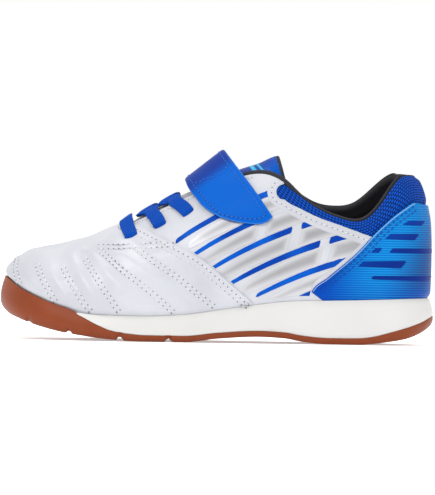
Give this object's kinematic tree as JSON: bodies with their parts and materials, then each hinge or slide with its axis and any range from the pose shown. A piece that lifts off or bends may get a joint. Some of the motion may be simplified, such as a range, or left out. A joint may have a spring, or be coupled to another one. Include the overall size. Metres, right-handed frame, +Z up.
{
  "type": "indoor soccer shoe",
  "caption": "Low child's indoor soccer shoe for the left foot: quilted white forefoot, blue mesh collar, instep strap over flat laces, gum rubber sole.",
  "frame": {"origin": "on the floor under the middle of the shoe's length and width", "axes": "+X from toe to heel, -Y towards the outer side of the left foot, +Z up"},
  "size_m": [0.2147, 0.0812, 0.0955],
  "materials": {
    "gum_rubber": "matte gum rubber",
    "white_foam": "satin moulded sole wall",
    "lining_fabric": "black knit",
    "mesh_fabric": "blue sports mesh",
    "white_leather": "pearl white synthetic leather",
    "blue_coated": "blue coated synthetic",
    "tongue_fabric": "grey fabric with dark binding",
    "blue_satin": "blue satin synthetic",
    "lace_fabric": "flat woven lace"
  },
  "bodies": {
    "root": {"outsole": "gum_rubber", "midsole": "white_foam", "insole": "lining_fabric", "upper": "mesh_fabric", "vamp": "white_leather", "quarter_outer": "white_leather", "quarter_inner": "white_leather", "heel_counter": "blue_coated", "tongue": "tongue_fabric", "tongue_panel": "blue_satin", "lace_bar": "lace_fabric", "lace_cross_lower": "lace_fabric", "lace_cross_upper": "lace_fabric", "strap": "blue_satin"}
  },
  "joints": []
}
